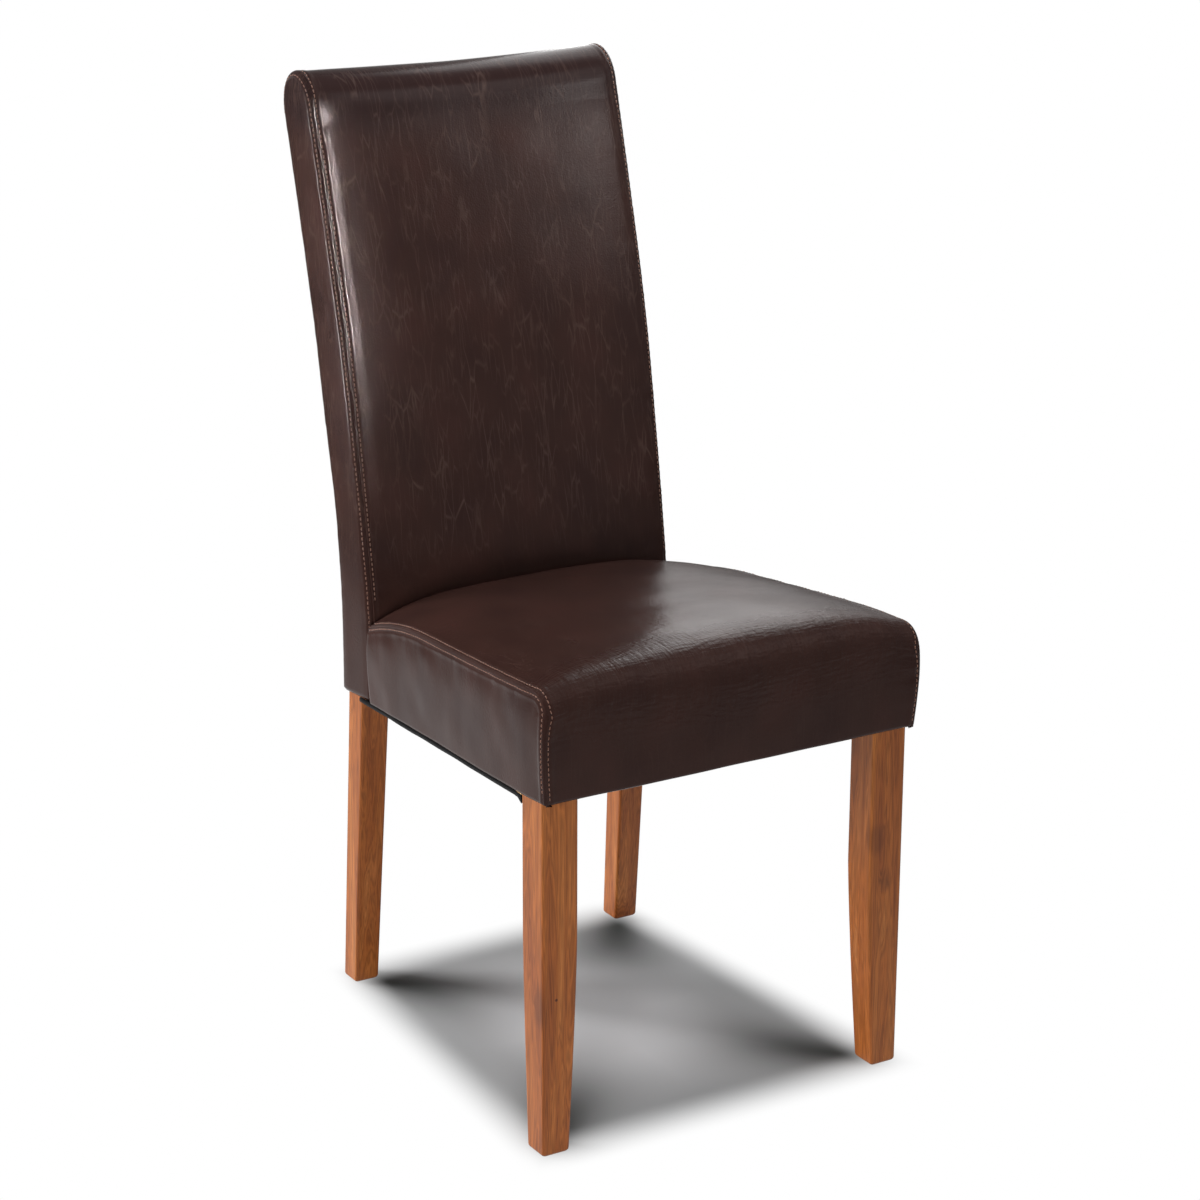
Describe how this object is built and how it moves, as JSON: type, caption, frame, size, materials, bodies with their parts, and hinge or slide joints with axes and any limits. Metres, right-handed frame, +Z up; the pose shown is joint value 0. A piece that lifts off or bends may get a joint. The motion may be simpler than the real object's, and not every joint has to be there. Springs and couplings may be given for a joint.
{
  "type": "parsons chair",
  "caption": "High-backed dining chair with a fully padded, sewn leather cover over seat and back, on square tapered stained wood legs.",
  "frame": {"origin": "on the floor, under the middle of the chair's bounding box", "axes": "+Z up, +Y towards the back of the chair, +X to the sitter's left as seen from the front (the right side of the picture)"},
  "size_m": [0.4534, 0.6122, 1.0199],
  "materials": {
    "leather": "dark brown, fine pebble grain, satin sheen with soft creases",
    "stained_wood": "honey-brown stained hardwood, satin lacquer, straight grain along the leg",
    "raw_wood": "planed pale hardwood, unfinished",
    "zinc_steel": "zinc-plated fasteners",
    "webbing": "woven jute upholstery webbing",
    "foam": "pale upholstery foam",
    "wadding": "white polyester wadding",
    "dust_cloth": "black non-woven cloth"
  },
  "bodies": {
    "root": {"left_rear_post": "stained_wood", "right_rear_post": "stained_wood", "left_front_leg": "stained_wood", "right_front_leg": "stained_wood", "left_seat_rail": "raw_wood", "right_seat_rail": "raw_wood", "front_seat_rail": "raw_wood", "rear_seat_rail": "raw_wood", "back_top_rail": "raw_wood", "back_middle_rail": "raw_wood", "back_lower_rail": "raw_wood", "left_front_corner_block": "raw_wood", "right_front_corner_block": "raw_wood", "left_rear_corner_block": "raw_wood", "right_rear_corner_block": "raw_wood", "left_lower_leg_bolt": "zinc_steel", "right_lower_leg_bolt": "zinc_steel", "left_lower_leg_bolt_washer": "zinc_steel", "right_lower_leg_bolt_washer": "zinc_steel", "left_lower_leg_bolt_nut": "zinc_steel", "right_lower_leg_bolt_nut": "zinc_steel", "left_upper_leg_bolt": "zinc_steel", "right_upper_leg_bolt": "zinc_steel", "left_upper_leg_bolt_washer": "zinc_steel", "right_upper_leg_bolt_washer": "zinc_steel", "left_upper_leg_bolt_nut": "zinc_steel", "right_upper_leg_bolt_nut": "zinc_steel", "left_front_block_cross_screw": "zinc_steel", "right_front_block_cross_screw": "zinc_steel", "left_front_block_side_screw": "zinc_steel", "right_front_block_side_screw": "zinc_steel", "left_rear_block_cross_screw": "zinc_steel", "right_rear_block_cross_screw": "zinc_steel", "left_rear_block_side_screw": "zinc_steel", "right_rear_block_side_screw": "zinc_steel", "left_seat_strap": "webbing", "middle_seat_strap": "webbing", "right_seat_strap": "webbing", "front_seat_cross_strap": "webbing", "centre_seat_cross_strap": "webbing", "rear_seat_cross_strap": "webbing", "lower_back_strap": "webbing", "middle_back_strap": "webbing", "upper_back_strap": "webbing", "seat_foam": "foam", "back_foam": "foam", "back_rear_wadding": "wadding", "seat_top_panel": "leather", "left_seat_side_panel": "leather", "right_seat_side_panel": "leather", "left_back_boxing": "leather", "right_back_boxing": "leather", "back_rear_panel": "leather", "back_front_panel": "leather", "dust_cover": "dust_cloth"}
  },
  "joints": []
}
